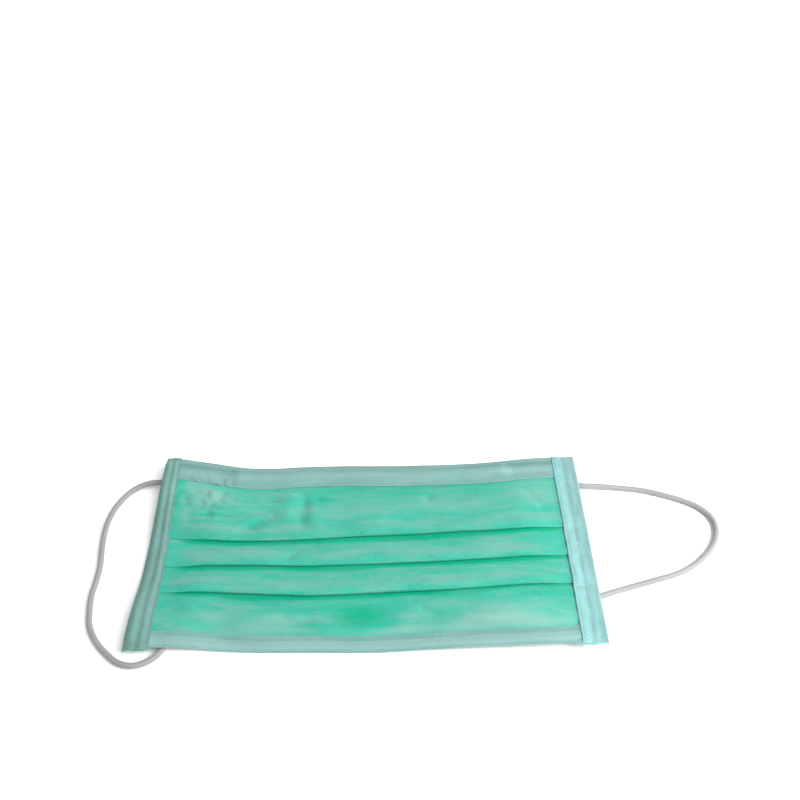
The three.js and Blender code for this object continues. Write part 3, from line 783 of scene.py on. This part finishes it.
class FACEMASK_OT_stage(bpy.types.Operator):
    """Sets up the camera at the photograph's angle, the pale table and the soft lights"""

    bl_idname = "facemask.stage"
    bl_label = "Camera, Table and Lights"

    camera_place = (0.01308, -0.24256, 0.29696)
    pitch, yaw, roll = math.radians(41.56), math.radians(-0.01), math.radians(-0.35)
    lens = 42.69
    # Half the table's width, and its top just under the lowest cloth
    table_size, table_top = 30.0, -0.00005
    # The soft main light, from the right and slightly from the front: the way to it, its width in degrees, watts
    # per square metre
    sun_from, sun_width, sun_power = (0.75, -0.38, 1.0), 46.0, 2.45
    # The lamp near the right end: its place, what it points at, its side and watts
    lamp_place, lamp_target, lamp_side, lamp_power = Vector((0.28, -0.12, 0.22)), Vector((0.03, 0.0, 0.0)), 0.15, 1.3
    sky_strength = 0.7

    def execute(self, context):
        self.add_camera(context)
        size, top = self.table_size, self.table_top
        corners = [(-size, -size, top), (size, -size, top), (size, size, top), (-size, size, top)]
        mesh = bpy.data.meshes.new("table")
        mesh.from_pydata(corners, [], [(0, 1, 2, 3)])
        mesh.materials.append(table_surface("table", context.scene.facemask_colours.table))
        table = bpy.data.objects.new("table", mesh)
        context.scene.collection.objects.link(table)
        sun = self.add_light(context, "sun", "SUN", -Vector(self.sun_from), self.sun_power)
        sun.data.angle = math.radians(self.sun_width)
        way = self.lamp_target - self.lamp_place
        lamp = self.add_light(context, "right_light", "AREA", way, self.lamp_power)
        lamp.data.size, lamp.location = self.lamp_side, self.lamp_place
        world = bpy.data.worlds.new("studio")
        world.use_nodes = True
        sky = world.node_tree.nodes["Background"].inputs
        sky["Color"].default_value, sky["Strength"].default_value = (1.0, 1.0, 1.0, 1.0), self.sky_strength
        context.scene.world = world
        context.scene.view_settings.view_transform = "Standard"
        return {"FINISHED"}

    def add_light(self, context, name, kind, way, power):
        """A light that shines along the given way."""
        data = bpy.data.lights.new(name, kind)
        data.energy = power
        light = bpy.data.objects.new(name, data)
        light.rotation_euler = way.to_track_quat("-Z", "Y").to_euler()
        context.scene.collection.objects.link(light)
        return light

    def add_camera(self, context):
        """Adds the camera, turned by its yaw, its pitch below the horizon, and its roll."""
        ahead = math.cos(self.pitch)
        forward = Vector((math.sin(self.yaw) * ahead, math.cos(self.yaw) * ahead, -math.sin(self.pitch)))
        level = Vector((math.cos(self.yaw), -math.sin(self.yaw), 0.0))
        upright = level.cross(forward)
        right = math.cos(self.roll) * level + math.sin(self.roll) * upright
        up = math.cos(self.roll) * upright - math.sin(self.roll) * level
        data = bpy.data.cameras.new("camera")
        data.lens, data.sensor_width = self.lens, 36.0
        data.clip_start, data.clip_end = 0.01, 60.0
        camera = bpy.data.objects.new("camera", data)
        turn = Matrix((right, up, -forward)).transposed().to_4x4()
        camera.matrix_world = Matrix.Translation(self.camera_place) @ turn
        context.scene.collection.objects.link(camera)
        context.scene.camera = camera


class FACEMASK_OT_ear_loops(bpy.types.Operator):
    """Builds the two knitted elastic cords, welded flat at both ends under the edge tapes"""

    bl_idname = "facemask.ear_loops"
    bl_label = "Ear Loops"

    # Over this length the welded ends are flattened: how much lower, wider and higher up they get
    flat_reach, lower, wider, raised = 0.0065, 0.45, 0.3, 0.0007

    def execute(self, context):
        sizes, colours = context.scene.facemask_sizes, context.scene.facemask_colours
        elastic = knitted_elastic("elastic", colours.elastic)
        for name, node, route in (
            ("left_elastic_cord", "left_ear_loop", LEFT_LOOP),
            ("right_elastic_cord", "right_ear_loop", RIGHT_LOOP),
        ):
            path, distance = smooth_route(route, CORD_RING)
            cord = self.add_cord(name, path, distance, sizes, elastic)
            stand_for(cord, node)
        return {"FINISHED"}

    def add_cord(self, name, path, distance, sizes, material):
        """A knitted cord along a path, closed at both ends."""
        from_end = np.minimum(distance, distance[-1] - distance)
        flat = eased(from_end, self.flat_reach, self.flat_reach * 0.35)[:, None]
        tangent = np.gradient(path, axis=0)
        tangent /= np.linalg.norm(tangent, axis=1, keepdims=True)
        side = np.cross(tangent, (0.0, 0.0, 1.0))
        side /= np.linalg.norm(side, axis=1, keepdims=True)
        lift = np.cross(side, tangent)
        turn = 2 * math.pi * np.arange(CORD_COLUMNS) / CORD_COLUMNS
        slant = np.abs(((STITCH_COLUMNS * turn / (2 * math.pi)) % 1) * 2 - 1)
        stitch = np.cos(2 * math.pi * (distance[:, None] / STITCH + 0.7 * slant[None, :]))
        column = np.cos(STITCH_COLUMNS * turn)[None, :]
        groove = np.clip(0.5 - 0.32 * stitch - 0.22 * column, 0, 1) * (1 - 0.7 * flat)
        radius = sizes.cord_diameter / 2 - sizes.stitch_relief * groove
        wide = radius * (1 + self.wider * flat)
        tall = radius * (1 - self.lower * flat)
        middle = path + flat * (0.0, 0.0, self.raised)
        points = (
            middle[:, None, :]
            + (wide * np.cos(turn))[:, :, None] * side[:, None, :]
            + (tall * np.sin(turn))[:, :, None] * lift[:, None, :]
        )
        rings = len(path)
        index = np.arange(rings * CORD_COLUMNS).reshape(rings, CORD_COLUMNS)
        nxt = np.roll(index, -1, axis=1)
        faces = np.stack([index[:-1], index[1:], nxt[1:], nxt[:-1]], axis=-1).reshape(-1, 4)
        ends = [index[0].tolist(), index[-1][::-1].tolist()]
        around = turn * sizes.cord_diameter / 2
        place = np.stack([np.repeat(distance, CORD_COLUMNS), np.tile(around, rings)], axis=1)
        # groove also gives the painted shade in the stitch grooves
        cord = smooth_object(name, points.reshape(-1, 3), faces.tolist() + ends, (material,), place, groove)
        cord.data.update()
        return cord


class FACEMASK_OT_hems(bpy.types.Operator):
    """Builds the folded strips along the nose and chin edges, with their rows of welded dots"""

    bl_idname = "facemask.hems"
    bl_label = "Top and Bottom Hem"

    def execute(self, context):
        sizes, colours = context.scene.facemask_sizes, context.scene.facemask_colours
        # The half-dark hem colour serves the dots and the painted shade, hem_fibres_and_highlight the fibres and the
        # painted highlight
        outer = bonded_cloth("hem", colours.hem, shade(colours.hem, 0.5), colours.hem_fibres_and_highlight, weld_and_shade_share=0.6)
        inner = lining_cloth("hem_lining", colours)
        ply = sizes.tape_thickness
        xs = np.linspace(-WELDED_END, WELDED_END, round(8 * WELDED_END / DOT_PITCH) + 1)
        cloth = FoldedCloth(sizes, xs)
        for name, node, out in (("top_hem_cloth", "top_hem", 1), ("bottom_hem_cloth", "bottom_hem", -1)):
            hem = FoldedHem(sizes, cloth, out)
            grid = np.stack([np.broadcast_to(xs, hem.y.shape), hem.y, hem.w + lay(xs[None, :], hem.y)], axis=-1)
            across = arc_length(hem.y, hem.w)[:, ::out]
            pressed = hem.welded[:, ::out]
            strip = cloth_object(name, grid[:, ::out], ply, xs[::out], across, outer, inner, pressed)
            stand_for(strip, node)
        return {"FINISHED"}


class FACEMASK_OT_side_tapes(bpy.types.Operator):
    """Builds the tapes folded round both ends, which close the pleats and hold the cords"""

    bl_idname = "facemask.side_tapes"
    bl_label = "Side Tapes"

    # Per tape: its near and far end, its width there, the radius of its outer fold, how puffed it is, and how much
    # painted shade (or, below 0, painted highlight) it gets at some shares of its width from the inner edge
    left_shape = {
        "ends": (-0.0466, 0.0484),
        "widths": (0.0094, 0.0060),
        "radius": 0.00115,
        "puff": 0.35,
        "shade_stripes": (
            (0.0, 0.42), (0.1, 0.32), (0.24, 0.08), (0.47, 0.62), (0.62, 0.22), (0.74, 0.36), (0.84, 0.6), (1.0, 0.5),
        ),
    }
    right_shape = {
        "ends": (-0.0464, 0.0477),
        "widths": (0.0094, 0.0094),
        "radius": 0.00090,
        "puff": 0.08,
        "shade_stripes": ((0.0, 0.15), (0.08, 0.12), (0.24, -0.20), (0.47, 0.30), (0.68, 0.18), (0.88, 0.62), (1.0, 0.50)),
    }
    # Soft rolls between the rows of dots: start and end as shares of the width, rise
    pillows = ((0.06, 0.46, 0.00085), (0.46, 0.90, 0.00065))
    # Rows of dots that close the tape at its ends, as shares of its width
    end_rows = (0.09, 0.24, 0.39, 0.54, 0.69, 0.84)
    # Rows of points in the outer fold and in the upper ply, after those of the lower ply
    fold, above = slice(10, 17), slice(17, None)

    def execute(self, context):
        sizes, colours = context.scene.facemask_sizes, context.scene.facemask_colours
        for name, node, sign, shape, colour in (
            ("left_side_tape", "left_side_binding", -1, self.left_shape, colours.tape_left_shaded),
            ("right_side_tape", "right_side_binding", 1, self.right_shape, colours.tape_right_lit),
        ):
            # deep and the paler colour serve the bond points and fibres, and the painted shade and highlight stripes
            deep = (0.55 * colour[0], 0.38 * colour[1], 0.40 * colour[2])
            cloth = bonded_cloth(name, colour, deep, shade(colour, 1.4), weld_and_shade_share=0.9)
            tape = self.add_tape(name, sign, shape, sizes, cloth)
            stand_for(tape, node)
        return {"FINISHED"}

    def add_tape(self, name, sign, shape, sizes, material):
        """The tape at the left (sign -1) or the right end: a lower ply, the outer fold and the upper ply."""
        ply, radius = sizes.tape_thickness, shape["radius"]
        near, far = shape["ends"]
        ys = np.linspace(near, far, round((far - near) / (DOT_PITCH / 4)) + 1)
        from_end = np.minimum(ys - near, far - ys)
        closed = eased(from_end, 0.0055, 0.0010)
        width = np.interp(ys, (near, far), shape["widths"])
        lower = radius + (width - radius) * np.linspace(1, 0, 10)[:, None]
        upper = radius + (width - radius) * np.linspace(0, 1, 28)[1:, None]
        inward = np.concatenate([lower, np.full((7, len(ys)), radius), upper])
        angle = np.radians(np.linspace(-90, 90, 9))[1:-1]
        round_off = radius * (1 - 0.65 * closed)
        x = MASK_RIGHT - inward
        x[self.fold] = MASK_RIGHT - round_off * (1 - np.cos(angle))[:, None]
        w = np.full_like(x, ply / 2)
        w[self.fold] = ply / 2 + round_off * (1 + np.sin(angle))[:, None]
        share = 1 - inward[self.above] / width
        from_inner = share * width
        rim = ply / 2 + 2 * round_off
        inner_height = self.height_over_layers(sizes, sign * (MASK_RIGHT - width), ys)
        upper = rim + (inner_height - rim) * eased(share, 1 - radius / width, 0.15)
        pillows = sum(
            rise * np.sin(math.pi * np.clip((share - start) / (end - start), 0, 1)) ** 2
            for start, end, rise in self.pillows
        )
        uneven = 1 + 0.5 * ripple(ys[None, :], from_inner, 0.010, 12.0 + sign)
        upper = upper + shape["puff"] * pillows * uneven * (1 - 0.8 * closed)
        upper = upper + 0.00022 * ripple(ys[None, :], from_inner * 1.5, 0.0045, 17.0 + sign) * (1 - closed)
        place = sign * x[self.above], np.broadcast_to(ys, share.shape)
        upper = upper + 0.6 * np.maximum(crumple(*place), 0) * (1 - 0.6 * closed) * eased(share, 1.0, 0.65)
        spots = dots(ys[None, :], from_inner, [row * width for row in TAPE_WELDS])
        end_spots = closed * dots(ys[None, :], from_inner, [row * width for row in self.end_rows])
        w[self.above] = upper - sizes.weld_depth * np.maximum(spots, end_spots) - 0.00007 * eased(share, 0.05, 0.0)
        # Painted shade and highlight in stripes along the tape, carried onto the outer fold; the dots are the tape's
        # own
        tint = np.interp(share, *zip(*shape["shade_stripes"]))
        pressed = np.zeros_like(w)
        pressed[self.fold] = shape["shade_stripes"][-1][1]
        pressed[self.above] = tint + (0.45 - tint) * np.maximum(0.6 * spots, end_spots)
        x = sign * x + sign * 0.00012 * ripple(ys[None, :], x * 0, 0.014, 2.0 + sign)
        uneven_cut = 0.0009 * ripple(x, x * 0, 0.0050, 77.0 + sign)
        y = ys + uneven_cut * eased(from_end, 0.0040, 0.0)
        way = -sign
        grid = np.stack([x, y, w + lay(x, y)], axis=-1)[:, ::way]
        across = arc_length(x, w)[:, ::way]
        return cloth_object(name, grid, ply, ys[::way], across, material, material, pressed[:, ::way])

    def height_over_layers(self, sizes, x, ys):
        """Height of the tape's upper ply at its inner edge at x, where it's welded to the panel and the hems."""
        cloth = FoldedCloth(sizes, x)
        top = np.array([cloth.top_at(i, y) for i, y in enumerate(ys)]) + sizes.cloth_thickness / 2
        for out in (-1, 1):
            hem = FoldedHem(sizes, cloth, out)
            hem_top = np.array([hem.top_at(i, y) for i, y in enumerate(ys)])
            top = np.maximum(top, hem_top + sizes.tape_thickness / 2)
        window, smoothing = 7, 9
        padded = np.pad(top, window // 2, mode="edge")
        highest = np.max([padded[i : i + len(ys)] for i in range(window)], axis=0)
        weights = np.hanning(smoothing) / np.hanning(smoothing).sum()
        smooth = np.convolve(np.pad(highest, smoothing // 2, mode="edge"), weights, mode="valid")
        return np.maximum(smooth, top) + 0.25 * sizes.tape_thickness


class FACEMASK_OT_nose_wire(bpy.types.Operator):
    """Gives the nose wire its plastic coat"""

    bl_idname = "facemask.nose_wire"
    bl_label = "Nose Wire"

    def execute(self, context):
        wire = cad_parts["nose_wire"]
        wire.data.materials.clear()
        wire.data.materials.append(coated_strip("wire_coat", context.scene.facemask_colours.wire))
        return {"FINISHED"}


class FACEMASK_OT_pleated_panel(bpy.types.Operator):
    """Builds the folded panel, green outside and white inside, with its three pleats"""

    bl_idname = "facemask.pleated_panel"
    bl_label = "Pleated Panel"

    pitch = 0.0011

    def execute(self, context):
        sizes, colours = context.scene.facemask_sizes, context.scene.facemask_colours
        outer = bonded_cloth("panel", colours.panel, colours.panel_bonds_and_shade, colours.panel_fibres_and_highlight, weld_and_shade_share=0.85)
        lining = lining_cloth("lining", colours)
        xs = np.linspace(-WELDED_END, WELDED_END, round(2 * WELDED_END / self.pitch) + 1)
        cloth = FoldedCloth(sizes, xs)
        grid = np.stack([np.broadcast_to(xs, cloth.y.shape), cloth.y, cloth.w + lay(xs[None, :], cloth.y)], axis=-1)
        across = arc_length(cloth.y, cloth.w)
        panel = cloth_object("pleated_cloth", grid, sizes.cloth_thickness, xs, across, outer, lining, cloth.painted_shade)
        stand_for(panel, "pleated_panel")
        return {"FINISHED"}


class FACEMASK_PT_parts(bpy.types.Panel):
    """Lists the sizes, the colours and the steps that build the mask"""

    bl_idname = "FACEMASK_PT_parts"
    bl_label = "Face Mask"
    bl_space_type = "VIEW_3D"
    bl_region_type = "UI"
    bl_category = "Face Mask"

    def draw(self, context):
        layout = self.layout
        for group in (context.scene.facemask_sizes, context.scene.facemask_colours):
            box = layout.box()
            for name in type(group).__annotations__:
                box.prop(group, name)
        for operator in STEPS:
            layout.operator(operator.bl_idname)


STEPS = (
    FACEMASK_OT_stage,
    FACEMASK_OT_ear_loops,
    FACEMASK_OT_hems,
    FACEMASK_OT_side_tapes,
    FACEMASK_OT_nose_wire,
    FACEMASK_OT_pleated_panel,
)
CLASSES = (MaskSizes, MaskColours, *STEPS, FACEMASK_PT_parts)


def register():
    for cls in CLASSES:
        bpy.utils.register_class(cls)
    bpy.types.Scene.facemask_sizes = PointerProperty(type=MaskSizes)
    bpy.types.Scene.facemask_colours = PointerProperty(type=MaskColours)


def unregister():
    del bpy.types.Scene.facemask_colours
    del bpy.types.Scene.facemask_sizes
    for cls in reversed(CLASSES):
        bpy.utils.unregister_class(cls)


def main():
    register()
    bpy.ops.facemask.stage()
    bpy.ops.facemask.ear_loops()
    bpy.ops.facemask.hems()
    bpy.ops.facemask.side_tapes()
    bpy.ops.facemask.nose_wire()
    bpy.ops.facemask.pleated_panel()


if __name__ == "__main__":
    main()
